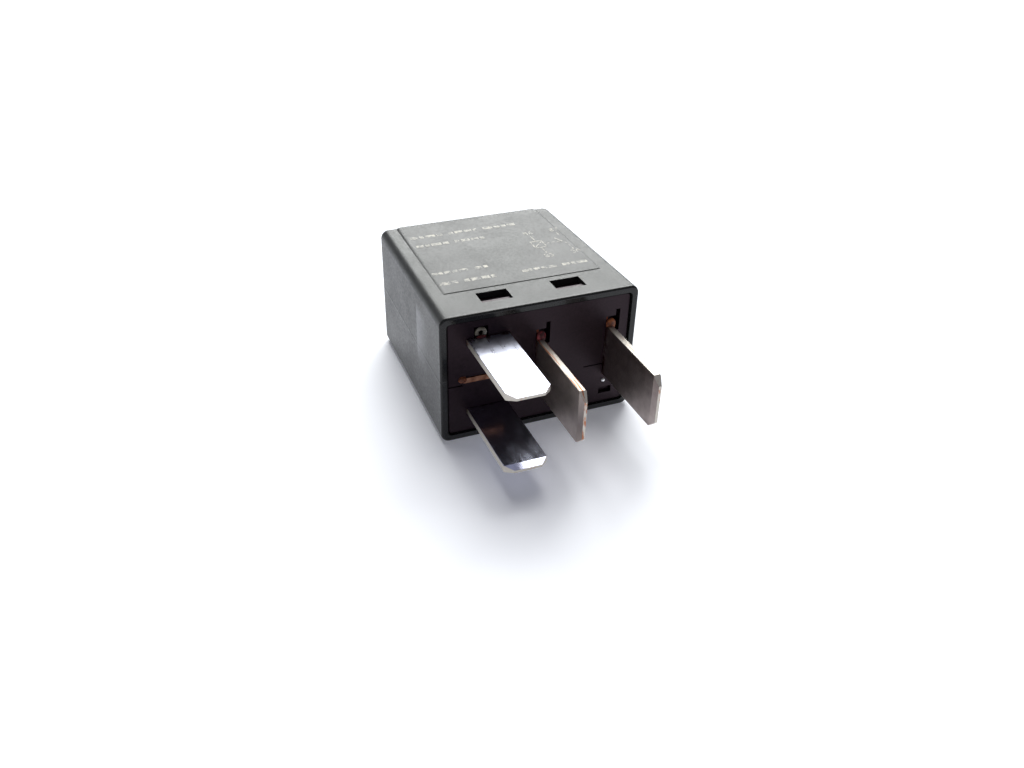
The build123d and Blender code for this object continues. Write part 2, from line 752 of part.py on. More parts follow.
# Yoke rivets: through the yoke's leg, headed flat over the leaf's foot
with BuildPart() as yoke_rivets:
    with BuildSketch(Plane.YZ.offset(yoke_back_x - yoke_thick)):
        with Locations((rim_y + yoke_rivet_depth, mid_z)):
            with GridLocations(0, yoke_rivet_spread, 1, 2):
                Circle(small_rivet_radius)
    extrude(amount=yoke_thick + leaf_gap + leaf_thick)
    with BuildSketch(Plane.YZ.offset(yoke_back_x + leaf_gap + leaf_thick)):
        with Locations((rim_y + yoke_rivet_depth, mid_z)):
            with GridLocations(0, yoke_rivet_spread, 1, 2):
                Circle(small_rivet_head)
    extrude(amount=yoke_rivet_head_thick)
yoke_rivets.part.label = "yoke_rivets"

# Moving contact: a domed rivet in the leaf's tip
contact_plane = armature_plane.offset(moving_face)
with BuildPart() as moving_contact:
    with BuildSketch(contact_plane):
        with Locations((contact_along, 0)):
            Circle(contact_radius)
    extrude(amount=contact_thick)
    dome_edge = moving_contact.edges().sort_by(Axis.Y)[0]
    fillet(dome_edge, radius=contact_dome)
    with BuildSketch(armature_plane.offset(leaf_start)):
        with Locations((contact_along, 0)):
            Circle(contact_shank)
    extrude(amount=leaf_thick)
    with BuildSketch(armature_plane.offset(leaf_top)):
        with Locations((contact_along, 0)):
            Circle(contact_top_radius)
    extrude(amount=contact_top_thick)
moving_contact.part.label = "moving_contact"

# Fixed contact: a rivet in the contact table of terminal 87
with BuildPart() as fixed_contact:
    with BuildSketch(section(table_back)):
        with Locations((contact_x, mid_z)):
            Circle(contact_radius)
    extrude(amount=-fixed_contact_thick)
    fillet(fixed_contact.edges().sort_by(Axis.Y)[-1], radius=contact_dome)
    with BuildSketch(section(table_back)):
        with Locations((contact_x, mid_z)):
            Circle(contact_shank)
    extrude(amount=blade_thick)
    with BuildSketch(section(table_back - blade_thick)):
        with Locations((contact_x, mid_z)):
            Circle(fixed_tail_radius)
    extrude(amount=fixed_tail_thick)
fixed_contact.part.label = "fixed_contact"

# Resistor: a ceramic rod with pressed end caps, lying across the two forked tails
resistor_low = mid_z - resistor_length / 2
resistor_high = mid_z + resistor_length / 2
resistor_at = (resistor_x, rim_y + resistor_depth)
with BuildPart() as resistor:
    with BuildSketch(Plane.XY.offset(resistor_low)):
        with Locations(resistor_at):
            Circle(resistor_radius)
    extrude(amount=resistor_length)
    with BuildSketch(Plane.XY.offset(resistor_low), Plane.XY.offset(resistor_high - resistor_cap_length)):
        with Locations(resistor_at):
            Circle(resistor_cap_radius)
    extrude(amount=resistor_cap_length)
    cap_rings = resistor.edges().filter_by(GeomType.CIRCLE).group_by(Axis.Z)
    fillet(cap_rings[0] + cap_rings[-1], radius=winding_round)
resistor.part.label = "resistor"

# Resistor leads: a short straight wire out of each cap, in the fork of its terminal
with BuildPart() as resistor_leads:
    lead_reach = coil_blade_high + blade_thick / 2 + resistor_lead_past
    with BuildSketch(Plane.XY.offset(resistor_high)):
        with Locations(resistor_at):
            Circle(resistor_lead_radius)
    extrude(amount=lead_reach - resistor_high)
    with BuildSketch(Plane.XY.offset(resistor_low)):
        with Locations(resistor_at):
            Circle(resistor_lead_radius)
    extrude(amount=resistor_high - lead_reach)
resistor_leads.part.label = "resistor_leads"


def coil_lead(z, side):
    """The winding's end: out of the flange's notch, across to the tail and round it."""
    wrap_front = rim_y + wrap_depth
    wire_z = mid_z + side * notch_spread / 2
    wrap_length = wrap_turns * lead_thick
    inner_width = tail_width + 2 * fit_gap
    inner_height = blade_thick + 2 * fit_gap
    tail_mid_x = coil_tail_x + tail_width / 2
    wire_rise = (notch_spread - lead_thick) / 2
    winding_edge = coil_x - sqrt(winding_radius**2 - wire_rise**2) - winding_gap
    with BuildPart() as lead:
        with BuildSketch(section(wrap_depth)):
            with Locations((tail_mid_x, z)):
                RectangleRounded(inner_width + 2 * lead_thick, inner_height + 2 * lead_thick,
                                 lead_thick)
                Rectangle(inner_width, inner_height, mode=Mode.SUBTRACT)
        extrude(amount=-wrap_length)
        with BuildSketch(Plane.YZ.offset(tail_mid_x + inner_width / 2)):
            with Locations((wrap_front + lead_thick / 2, wire_z)):
                Circle(lead_thick / 2)
        extrude(amount=winding_edge - tail_mid_x - inner_width / 2)
    return lead


coil_lead_85 = coil_lead(coil_blade_high, 1)
coil_lead_85.part.label = "coil_lead_85"
coil_lead_86 = coil_lead(coil_blade_low, -1)
coil_lead_86.part.label = "coil_lead_86"

# Solder caps: a rounded blob over the end of each wrapped tail
wrap_back = wrap_depth + wrap_turns * lead_thick
with BuildPart() as solder_caps:
    for tail_z in (coil_blade_low, coil_blade_high):
        slab(coil_tail_x - solder_over, coil_tail_x + tail_width + solder_over,
             wrap_back + fit_gap, tail_top + solder_over,
             tail_z - blade_thick / 2 - solder_over, tail_z + blade_thick / 2 + solder_over)
    fillet(solder_caps.edges(), radius=solder_over / 2)
    for tail_z in (coil_blade_low, coil_blade_high):
        slab(coil_tail_x, coil_tail_x + tail_width, wrap_depth, tail_top,
             tail_z - blade_thick / 2, tail_z + blade_thick / 2, mode=Mode.SUBTRACT)
solder_caps.part.label = "solder_caps"

# One STEP file for each piece
pieces = (
    cover, base, terminal_30, terminal_87, terminal_85, terminal_86, stop_strip,
    yoke, core, bobbin, winding, armature, contact_spring, armature_rivets, yoke_rivets,
    moving_contact, fixed_contact, resistor, resistor_leads,
    coil_lead_85, coil_lead_86, solder_caps,
)
os.makedirs("parts", exist_ok=True)
for piece in pieces:
    export_step(piece.part, f"parts/{piece.part.label}.step")
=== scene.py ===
# %% [markdown]
# # A small plug-in relay
# The relay's solids come from the CAD pack, already in place, in metres, lying on one broad face.
# This lesson sets up the camera and a white table under two soft lamps. Then it gives the
# solids their finishes, prints the label panel, copies the contact leaf and cuts it across,
# and sets small drops of flux and solder where the blades leave the base, with a painted
# highlight and a painted reflection at the moulded eye.

# %% Load the frame
import json
import math

import bpy
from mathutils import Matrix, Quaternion, Vector

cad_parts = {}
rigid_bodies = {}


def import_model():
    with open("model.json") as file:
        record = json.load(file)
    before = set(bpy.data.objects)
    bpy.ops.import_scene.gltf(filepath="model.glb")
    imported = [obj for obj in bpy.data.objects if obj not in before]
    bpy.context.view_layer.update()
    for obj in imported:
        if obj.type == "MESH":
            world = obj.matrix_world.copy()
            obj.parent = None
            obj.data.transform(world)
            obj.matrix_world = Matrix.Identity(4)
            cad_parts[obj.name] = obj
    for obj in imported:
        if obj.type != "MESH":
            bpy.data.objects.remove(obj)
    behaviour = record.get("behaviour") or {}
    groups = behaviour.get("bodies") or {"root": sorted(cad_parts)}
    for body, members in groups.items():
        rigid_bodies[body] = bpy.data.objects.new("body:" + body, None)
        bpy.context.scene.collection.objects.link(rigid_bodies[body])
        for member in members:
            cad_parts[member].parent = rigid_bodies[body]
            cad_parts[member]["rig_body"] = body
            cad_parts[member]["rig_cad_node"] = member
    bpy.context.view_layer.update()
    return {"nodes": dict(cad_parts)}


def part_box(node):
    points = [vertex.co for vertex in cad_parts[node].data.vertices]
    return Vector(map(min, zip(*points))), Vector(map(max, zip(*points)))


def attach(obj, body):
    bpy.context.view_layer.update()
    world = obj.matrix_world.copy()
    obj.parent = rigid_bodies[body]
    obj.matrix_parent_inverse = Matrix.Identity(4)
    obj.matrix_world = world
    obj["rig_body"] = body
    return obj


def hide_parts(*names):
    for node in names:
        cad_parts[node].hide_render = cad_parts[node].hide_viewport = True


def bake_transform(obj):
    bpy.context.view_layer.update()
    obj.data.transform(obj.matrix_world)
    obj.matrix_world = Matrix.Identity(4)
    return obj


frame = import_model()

MM = 0.001
nodes = frame["nodes"]

# %% [markdown]
# ## Camera
# The place of the camera was solved from the corners of the cover and the blades, whose real
# sizes are known: it stands about 12 cm away, a little to the left, and looks down at 34 degrees.
# A camera so near needs a wide lens, which is why the near blades look large.

# %% Camera
azimuth, elevation, roll = (math.radians(v) for v in (-22.967, 33.514, 1.539))
stand = Vector((-36.54, -84.75, 62.34)) * MM
focal_length = 32.85
behind = Vector((
    math.sin(azimuth) * math.cos(elevation),
    -math.cos(azimuth) * math.cos(elevation),
    math.sin(elevation),
))
bpy.ops.object.camera_add(location=stand)
camera = bpy.context.object
camera.name = "photo_camera"
camera.rotation_mode = "QUATERNION"
camera.rotation_quaternion = behind.to_track_quat("Z", "Y") @ Quaternion((0, 0, 1), roll)
camera.data.sensor_width = 36
camera.data.lens = focal_length
camera.data.clip_start = 1 * MM
bpy.context.scene.camera = camera
bpy.context.scene.view_settings.view_transform = "Standard"
print("camera", [round(v, 4) for v in camera.location])

# %% [markdown]
# ## Helpers for finishes
# A finish is a small tree of nodes. One helper adds a node with its settings and its links,
# and one turns a colour as a paint chart gives it, in sRGB hex, into the linear values
# that the shaders work with. A third gives the noise scale for patches of a size in mm, so
# that every stain and grain below is written down at its real width.


# %% Helpers for finishes
def linear(code):
    """An sRGB hex colour as the linear colour that a shader takes."""
    channels = [int(code[i:i + 2], 16) / 255 for i in (0, 2, 4)]
    return [c / 12.92 if c <= 0.04045 else ((c + 0.055) / 1.055) ** 2.4 for c in channels] + [1]


def add_node(tree, kind, settings=None, links=None):
    """Adds a node, sets its options and sockets, and links the named sockets to outputs."""
    node = tree.nodes.new(kind)
    for key, value in (settings or {}).items():
        if isinstance(key, int) or key in node.inputs:
            node.inputs[key].default_value = value
        else:
            setattr(node, key, value)
    for key, output in (links or {}).items():
        tree.links.new(output, node.inputs[key])
    return node


def patches(width):
    """The noise scale that gives patches about width mm wide."""
    return 1 / (width * MM)


def new_finish(name):
    """An empty material with its node tree, its shader, and the piece's own coordinates."""
    finish = bpy.data.materials.new(name)
    finish.use_nodes = True
    tree = finish.node_tree
    shader = tree.nodes["Principled BSDF"]
    place = add_node(tree, "ShaderNodeTexCoord")
    return finish, tree, shader, place


def dress(finish, *names):
    """Puts a finish on CAD nodes."""
    for name in names:
        nodes[name].data.materials.clear()
        nodes[name].data.materials.append(finish)


print("helpers ready; mid grey 808080 is", round(linear("808080")[0], 3))

# %% [markdown]
# ## Table and air
# The relay lies on a glossless white table. The floor takes the lamp's light and shows the
# shadow as paint would. A little glow is added, more of it farther out, but only for what
# the camera and mirrors see, so the background is white without more light on the relay.
# The weaker glow near the relay is painted shade that keeps the floor round it darker.

# %% Table
bpy.ops.object.select_all(action="DESELECT")
bpy.ops.mesh.primitive_plane_add(size=4, location=(0, 0, 0))
table = bpy.context.object
table.name = "table"
print("table", round(table.dimensions.x, 1), "m wide")

# %% Matt white paint
shadow_end, near_white = 18 * MM, 60 * MM
far_start, far_white = 80 * MM, 500 * MM
white_paint = bpy.data.materials.new("matt_white_table")
white_paint.use_nodes = True
tree = white_paint.node_tree
tree.nodes.remove(tree.nodes["Principled BSDF"])
ray = add_node(tree, "ShaderNodeLightPath")
place = add_node(tree, "ShaderNodeTexCoord")
away = add_node(tree, "ShaderNodeVectorMath", {"operation": "LENGTH"},
                {0: place.outputs["Object"]})
# Painted shade: the glow is weakest within 18 mm of the middle, where the relay lies, and full from 60 mm
outer = add_node(tree, "ShaderNodeMapRange",
                 {"interpolation_type": "SMOOTHSTEP", "From Min": shadow_end,
                  "From Max": near_white, "To Min": 0.15, "To Max": 0.4}, {"Value": away.outputs["Value"]})
far = add_node(tree, "ShaderNodeMapRange",
               {"interpolation_type": "SMOOTHSTEP", "From Min": far_start,
                "From Max": far_white, "To Min": 0, "To Max": 0.6}, {"Value": away.outputs["Value"]})
lifted = add_node(tree, "ShaderNodeMath", {"operation": "ADD"},
                  {0: outer.outputs[0], 1: far.outputs[0]})
watched = add_node(tree, "ShaderNodeMath", {"operation": "MULTIPLY"},
                   {0: lifted.outputs[0], 1: ray.outputs["Is Camera Ray"]})
lift = add_node(tree, "ShaderNodeMath", {"operation": "MULTIPLY_ADD", 1: 0.45},
                {0: ray.outputs["Is Glossy Ray"], 2: watched.outputs[0]})
paint = add_node(tree, "ShaderNodeBsdfDiffuse", {"Color": linear("F3F5FA")})
glow = add_node(tree, "ShaderNodeEmission", {"Color": linear("F4F6FF")},
                {"Strength": lift.outputs[0]})
both = add_node(tree, "ShaderNodeAddShader", None, {0: paint.outputs[0], 1: glow.outputs[0]})
tree.links.new(both.outputs[0], tree.nodes["Material Output"].inputs["Surface"])
table.data.materials.append(white_paint)
print("paint on the table")

# %% Air
world = bpy.data.worlds.new("pale_room")
bpy.context.scene.world = world
world.use_nodes = True
tree = world.node_tree
air = tree.nodes["Background"]
air.inputs["Color"].default_value = linear("F2F4FF")
ray = add_node(tree, "ShaderNodeLightPath")
dim_room, mirrored_more, seen_more = 0.13, 0.22, 1.05
mirrored = add_node(tree, "ShaderNodeMath",
                    {"operation": "MULTIPLY_ADD", 1: mirrored_more, 2: dim_room},
                    {0: ray.outputs["Is Glossy Ray"]})
level = add_node(tree, "ShaderNodeMath", {"operation": "MULTIPLY_ADD", 1: seen_more},
                 {0: ray.outputs["Is Camera Ray"], 2: mirrored.outputs[0]})
tree.links.new(level.outputs[0], air.inputs["Strength"])
print("air made")

# %% [markdown]
# ## Two soft lamps
# The broad face and the upper blade mirror something much brighter than the room: a large
# window behind the relay. Its direction is the camera's line of sight mirrored in the broad
# face, so a soft box is put there. The lower blade's bevelled tip mirrors a second bright
# place, high overhead, and a lamp there shortens the shadow to what the picture shows.


# %% Two soft lamps
def soft_box(name, towards, distance, size, brightness, colour):
    """A square lamp that faces the relay; its energy follows from how bright it looks."""
    bpy.ops.object.light_add(type="AREA", location=towards * distance)
    lamp = bpy.context.object
    lamp.name = name
    lamp.rotation_mode = "QUATERNION"
    lamp.rotation_quaternion = towards.to_track_quat("Z", "Y")
    lamp.data.shape = "SQUARE"
    lamp.data.size = size
    lamp.data.energy = brightness * math.pi * size ** 2
    lamp.data.color = colour
    print(name, round(lamp.data.energy, 2), "W")


mirror_line = Vector((-behind.x, -behind.y, behind.z))
overhead = Vector((0.10, 0.36, 0.93)).normalized()
lamp_distance = 1.0
soft_box("window", mirror_line, lamp_distance, 0.8, 7.2, (0.98, 1.0, 0.98))
soft_box("ceiling_lamp", overhead, lamp_distance, 0.6, 5.2, (1.0, 0.995, 0.99))

# %% [markdown]
# ## Black moulded plastic
# Cover and base are injection moulded from black glass-filled nylon and polyester. The mould
# was spark-eroded, which leaves a fine satin grain, drawn here 0.3 mm coarse so that it shows.
# Handling has rubbed it shinier in some places, a few millimetres wide, and dustier in others.
# The plastic itself is nearly black: the greys in the picture are reflections on that satin,
# so the colour stays dark and the roughness does the work. The steel at the cover's rim was
# polished, so the plastic there is glossier, and its colour is painted darker there as painted shade.


# %% Black moulded plastic
def moulded_black(name, colour, dusty, roughness, rim=None):
    """Glass-filled nylon or polyester from a spark-eroded mould, handled and a little dusty; at the rim it
    is glossier and painted darker as shade.
    """
    finish, tree, shader, place = new_finish(name)
    cloud = add_node(tree, "ShaderNodeTexNoise", {"Scale": patches(3.8), "Detail": 3},
                     {"Vector": place.outputs["Object"]})
    # The satin is a few hundredths of a millimetre fine on the real one
    speck = add_node(tree, "ShaderNodeTexNoise",
                     {"Scale": patches(0.31), "Detail": 3, "Roughness": 0.7},
                     {"Vector": place.outputs["Object"]})
    mottle = add_node(tree, "ShaderNodeMath", {"operation": "MULTIPLY_ADD", 1: 0.35},
                      {0: cloud.outputs["Fac"], 2: speck.outputs["Fac"]})
    dust = add_node(tree, "ShaderNodeMapRange", {"From Min": 0.52, "From Max": 0.84},
                    {"Value": mottle.outputs[0]})
    tint = add_node(tree, "ShaderNodeMix", {"data_type": "RGBA", 6: linear(colour),
                                            7: linear(dusty)},
                    {0: dust.outputs[0]}).outputs[2]
    skin = add_node(tree, "ShaderNodeMapRange",
                    {"To Min": roughness - 0.07, "To Max": roughness + 0.09},
                    {"Value": dust.outputs[0]}).outputs[0]
    if rim:
        axes = add_node(tree, "ShaderNodeSeparateXYZ", None, {0: place.outputs["Object"]})
        polish_and_shade = add_node(tree, "ShaderNodeMapRange",
                          {"From Min": rim[0], "From Max": rim[1], "To Min": 0.3, "To Max": 1},
                          {"Value": axes.outputs["Y"]})
        skin = add_node(tree, "ShaderNodeMath", {"operation": "MULTIPLY"},
                        {0: skin, 1: polish_and_shade.outputs[0]}).outputs[0]
        # Painted shade: the colour turns nearly black on the rim's end face
        tint = add_node(tree, "ShaderNodeMix", {"data_type": "RGBA", 6: linear("040304")},
                        {0: polish_and_shade.outputs[0], 7: tint}).outputs[2]
    relief = add_node(tree, "ShaderNodeBump", {"Strength": 0.5, "Distance": 0.012 * MM},
                      {"Height": speck.outputs["Fac"]})
    tree.links.new(tint, shader.inputs["Base Color"])
    tree.links.new(skin, shader.inputs["Roughness"])
    tree.links.new(relief.outputs[0], shader.inputs["Normal"])
    return finish, shader


print("recipe for black plastic ready")

# %% Plastic on cover and base
rim_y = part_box("cover")[0].y
polished_and_shaded_rim = (rim_y + 0.05 * MM, rim_y + 0.4 * MM)
nylon, shader = moulded_black("moulded_black_nylon", "232424", "303130", 0.42, polished_and_shaded_rim)
shader.inputs["Specular IOR Level"].default_value = 0.27
polyester, shader = moulded_black("moulded_black_polyester", "130C10", "1D1419", 0.38)
shader.inputs["Specular IOR Level"].default_value = 0.2
shader.inputs["Specular Tint"].default_value = linear("FFDDEC")
dress(nylon, "cover")
dress(polyester, "base")
print("black plastic on cover and base; rim at", round(rim_y / MM, 2), "mm")

# %% [markdown]
# ## A witness line and a painted reflection on the cover's sides
# The two halves of the mould met half-way up the sides and left a fine witness line there,
# a ridge a few hundredths of a millimetre high. On the left side near the rim a paler band
# is painted in as a painted reflection. Both are drawn into the nylon that was just made.

# %% Witness line
line_half_width, line_height = 0.28 * MM, 0.03 * MM
tree = nylon.node_tree
shader = tree.nodes["Principled BSDF"]
place = add_node(tree, "ShaderNodeTexCoord")
axes = add_node(tree, "ShaderNodeSeparateXYZ", None, {0: place.outputs["Object"]})
half_height = (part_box("cover")[0].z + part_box("cover")[1].z) / 2
off_line = add_node(tree, "ShaderNodeMath", {"operation": "SUBTRACT", 1: half_height},
                    {0: axes.outputs["Z"]})
off_line = add_node(tree, "ShaderNodeMath", {"operation": "ABSOLUTE"}, {0: off_line.outputs[0]})
ridge = add_node(tree, "ShaderNodeMapRange",
                 {"interpolation_type": "SMOOTHSTEP", "From Min": line_half_width, "From Max": 0,
                  "To Min": 0, "To Max": 1}, {"Value": off_line.outputs[0]})
raised = add_node(tree, "ShaderNodeBump", {"Strength": 1.0, "Distance": line_height},
                  {"Height": ridge.outputs[0],
                   "Normal": shader.inputs["Normal"].links[0].from_socket})
tree.links.new(raised.outputs[0], shader.inputs["Normal"])
print("witness line at", round(half_height / MM, 2), "mm")

# %% Painted reflection
reflection_band = None
# Along each axis, in mm: where the painted reflection starts and where it is full
for axis, start, full in (("X", -11.0, -11.2), ("Y", 2.4, 2.1), ("Y", -2.6, 2.1),
                          ("Z", 5.0, 9.5), ("Z", 13.6, 11.8)):
    edge = add_node(tree, "ShaderNodeMapRange",
                    {"interpolation_type": "SMOOTHSTEP", "From Min": start * MM,
                     "From Max": full * MM}, {"Value": axes.outputs[axis]}).outputs[0]
    if reflection_band:
        edge = add_node(tree, "ShaderNodeMath", {"operation": "MULTIPLY"},
                        {0: edge, 1: reflection_band}).outputs[0]
    reflection_band = edge
# Painted reflection: a paler colour mixed in over the band on the left side
reflection_paint = add_node(tree, "ShaderNodeMix", {"data_type": "RGBA", 7: linear("7E7F82")},
                 {0: reflection_band, 6: shader.inputs["Base Color"].links[0].from_socket})
tree.links.new(reflection_paint.outputs[2], shader.inputs["Base Color"])
print("smear on the left side")

# %% [markdown]
# ## Tin-plated blades
# The terminals are stamped from brass strip and plated with tin. The plate is bright but not
# a true mirror: pushing the blades in and out has left lines along them and small scuffs.
# The sheared edges are rougher, with streaks of the metal below, and at the roots
# the plate is stained brown by flux.


# %% Marks in the tin
def tin_marks(tree, place, face_axis):
    """How much a spot is face and not edge, the lines along the blade, its blotches and scuffs."""
    turned = add_node(tree, "ShaderNodeSeparateXYZ", None, {0: place.outputs["Normal"]})
    facing = add_node(tree, "ShaderNodeMath", {"operation": "ABSOLUTE"},
                      {0: turned.outputs[face_axis]})
    face = add_node(tree, "ShaderNodeMapRange", {"From Min": 0.5, "From Max": 0.85},
                    {"Value": facing.outputs[0]})
    along = add_node(tree, "ShaderNodeMapping", {"Scale": (1, 0.05, 0.3)},
                     {"Vector": place.outputs["Object"]})
    lines = add_node(tree, "ShaderNodeTexNoise", {"Scale": patches(0.2), "Detail": 3},
                     {"Vector": along.outputs[0]})
    blotch = add_node(tree, "ShaderNodeTexNoise",
                      {"Scale": patches(1.1), "Detail": 6, "Roughness": 0.65},
                      {"Vector": place.outputs["Object"]})
    rubbed = add_node(tree, "ShaderNodeMapping", {"Scale": (1, 0.35, 1)},
                      {"Vector": place.outputs["Object"]})
    scuff = add_node(tree, "ShaderNodeTexNoise",
                     {"Scale": patches(0.67), "Detail": 4, "Roughness": 0.6},
                     {"Vector": rubbed.outputs[0]})
    return face.outputs[0], lines.outputs["Fac"], blotch.outputs["Fac"], scuff.outputs["Fac"]


print("recipe for the marks ready")


# %% Tint of the tin
def tin_tint(tree, place, face, lines, blotch, face_colour, cloud_colour, copper_share):
    """Cloudy faces, edges streaked with the metal below, and brown stains at the roots."""
    axes = add_node(tree, "ShaderNodeSeparateXYZ", None, {0: place.outputs["Object"]})
    # The stain fades within 1.5 mm of the rim, in ragged patches
    root = add_node(tree, "ShaderNodeMapRange",
                    {"From Min": rim_y - 1.5 * MM, "From Max": rim_y + 0.9 * MM},
                    {"Value": axes.outputs["Y"]})
    ragged = add_node(tree, "ShaderNodeMath", {"operation": "ADD"},
                      {0: root.outputs[0], 1: blotch})
    stained = add_node(tree, "ShaderNodeMapRange", {"From Min": 1.05, "From Max": 1.4},
                       {"Value": ragged.outputs[0]})
    streak = add_node(tree, "ShaderNodeMapRange",
                      {"From Min": 0.62 - copper_share, "From Max": 0.72 - copper_share},
                      {"Value": lines})
    edge_tint = add_node(tree, "ShaderNodeMix", {"data_type": "RGBA", 6: linear("B4AFA7"),
                                                 7: linear("A06A50")}, {0: streak.outputs[0]})
    clouds = add_node(tree, "ShaderNodeMapRange",
                      {"From Min": 0.35, "From Max": 0.75, "To Max": 0.6}, {"Value": blotch})
    cloudy = add_node(tree, "ShaderNodeMix", {"data_type": "RGBA", 6: linear(face_colour),
                                              7: linear(cloud_colour)}, {0: clouds.outputs[0]})
    plate = add_node(tree, "ShaderNodeMix", {"data_type": "RGBA"},
                     {0: face, 6: edge_tint.outputs[2], 7: cloudy.outputs[2]})
    tint = add_node(tree, "ShaderNodeMix", {"data_type": "RGBA", 7: linear("6F3B2A")},
                    {0: stained.outputs[0], 6: plate.outputs[2]})
    return tint.outputs[2]


print("recipe for the tint ready")


# %% Tin-plated blades
def tin_plate(name, face_axis, face_colour, cloud_colour, face_rough, copper_share):
    """Tin on brass: smooth faces square to face_axis, streaked sheared edges, stained roots."""
    finish, tree, shader, place = new_finish(name)
    face, lines, blotch, scuff = tin_marks(tree, place, face_axis)
    tint = tin_tint(tree, place, face, lines, blotch, face_colour, cloud_colour, copper_share)
    dull = add_node(tree, "ShaderNodeMapRange", {"To Min": 0.45, "To Max": face_rough},
                    {"Value": face})
    drawn = add_node(tree, "ShaderNodeMath", {"operation": "MULTIPLY_ADD", 1: 0.12},
                     {0: lines, 2: dull.outputs[0]})
    scuffed = add_node(tree, "ShaderNodeMapRange",
                       {"From Min": 0.3, "From Max": 0.8, "To Min": -0.02, "To Max": 0.08},
                       {"Value": scuff})
    rough = add_node(tree, "ShaderNodeMath", {"operation": "ADD"},
                     {0: drawn.outputs[0], 1: scuffed.outputs[0]})
    relief = add_node(tree, "ShaderNodeBump", {"Strength": 0.06, "Distance": 0.006 * MM},
                      {"Height": scuff})
    shader.inputs["Metallic"].default_value = 1.0
    tree.links.new(tint, shader.inputs["Base Color"])
    tree.links.new(rough.outputs[0], shader.inputs["Roughness"])
    tree.links.new(relief.outputs[0], shader.inputs["Normal"])
    return finish


# The upright blades get darker, warmer copies of the tin than the flat ones: painted shade on their
# upright faces
dress(tin_plate("shaded_tin_on_upright_blade", "X", "B3A7A2", "887C76", 0.31, 0.04), "terminal_30")
dress(tin_plate("shaded_worn_tin_on_upright_blade", "X", "A89C96", "847973", 0.32, 0.14), "terminal_87")
dress(tin_plate("tin_on_upper_flat_blade", "Z", "D0D3E2", "8D8A96", 0.22, 0.0), "terminal_85")
dress(tin_plate("tin_on_lower_flat_blade", "Z", "C6C9DA", "8D8A96", 0.1, 0.0), "terminal_86")
print("tin on four terminals")

# %% [markdown]
# ## The other metals
# Inside, each piece has the metal of its work. Yoke, core and armature carry the magnetic
# flux, so they are soft iron with a thin zinc plate. The leaf is rolled spring
# bronze, the contacts are a silver alloy that tarnishes a little, and the unused fifth place
# holds a strip of bare copper. All of them share one recipe: stains in patches, and grain drawn
# out along the way that the sheet was rolled or the wire was pulled.


# %% The other metals
def worked_metal(name, colour, stain, roughness, stretch, patch):
    """Sheet or wire metal, with stains about patch mm wide and grain stretched along its length."""
    finish, tree, shader, place = new_finish(name)
    cloud = add_node(tree, "ShaderNodeTexNoise", {"Scale": patches(patch), "Detail": 5},
                     {"Vector": place.outputs["Object"]})
    stained = add_node(tree, "ShaderNodeMapRange", {"From Min": 0.4, "From Max": 0.7},
                       {"Value": cloud.outputs["Fac"]})
    tint = add_node(tree, "ShaderNodeMix", {"data_type": "RGBA", 6: linear(colour),
                                            7: linear(stain)}, {0: stained.outputs[0]})
    rolled = add_node(tree, "ShaderNodeMapping", {"Scale": stretch},
                      {"Vector": place.outputs["Object"]})
    # Rolling lines are about 0.02 mm apart on the real strip, too fine to show
    grain = add_node(tree, "ShaderNodeTexNoise", {"Scale": patches(0.17), "Detail": 3},
                     {"Vector": rolled.outputs[0]})
    satin = add_node(tree, "ShaderNodeMapRange",
                     {"To Min": roughness - 0.1, "To Max": roughness + 0.1},
                     {"Value": grain.outputs["Fac"]})
    relief = add_node(tree, "ShaderNodeBump", {"Strength": 0.3, "Distance": 0.01 * MM},
                      {"Height": grain.outputs["Fac"]})
    shader.inputs["Metallic"].default_value = 1.0
    tree.links.new(tint.outputs[2], shader.inputs["Base Color"])
    tree.links.new(satin.outputs[0], shader.inputs["Roughness"])
    tree.links.new(relief.outputs[0], shader.inputs["Normal"])
    return finish


print("recipe for worked metal ready")

# %% Metal on the inner pieces
# Grain is stretched along the way of rolling or drawing
along_x, along_y, along_z, even = (0.06, 1, 1), (1, 0.06, 1), (1, 1, 0.06), (1, 1, 1)
# Copper of the unused place: pinkish, with brown oxide
dress(worked_metal("bare_copper_strip", "A0745E", "65402E", 0.38, along_x, 0.8), "stop_strip")
# Zinc on soft iron: a cold blue-white, with a yellow bloom of the passivation
dress(worked_metal("zinc_plated_iron", "B9BDC2", "A9A387", 0.34, along_y, 2.0), "yoke", "core")
dress(worked_metal("zinc_plated_armature", "B9BDC2", "A9A387", 0.34, along_x, 2.0), "armature")
# Rivets: turned steel, even grain, a dark film from heading
dress(worked_metal("headed_steel_rivets", "A6A6A4", "6E6A64", 0.3, even, 0.6),
      "armature_rivets", "yoke_rivets")
# Silver alloy: white, with a warm tarnish
dress(worked_metal("silver_alloy_contacts", "DAD8D2", "A89C86", 0.3, even, 0.7),
      "moving_contact", "fixed_contact")
# Tinned wire and solder: soft white metal, the solder smoother and more rounded in its look
dress(worked_metal("tinned_copper_wire", "C4C4C6", "9A9690", 0.3, along_z, 0.5), "resistor_leads")
dress(worked_metal("tin_solder", "CACBCD", "8E8A84", 0.2, even, 0.4), "solder_caps")
bronze = worked_metal("rolled_spring_bronze", "C79A62", "96683C", 0.28, along_y, 1.5)
dress(bronze, "contact_spring")
print("eight kinds of metal on the inner pieces")

# %% [markdown]
# ## Coil, bobbin and resistor
# The coil is a thousand or more turns of enamelled copper wire, finer than a hair, on a bobbin of
# natural nylon. The enamel is a clear amber lacquer, so the copper shows through with a soft
# gloss. The turns are drawn 0.2 mm apart, coarser than real, so that they can be seen.
# The resistor is a ceramic rod in a pale lacquer with plain colour rings, which code its value.

# %% Enamelled copper wire
wire_pitch = 0.2 * MM
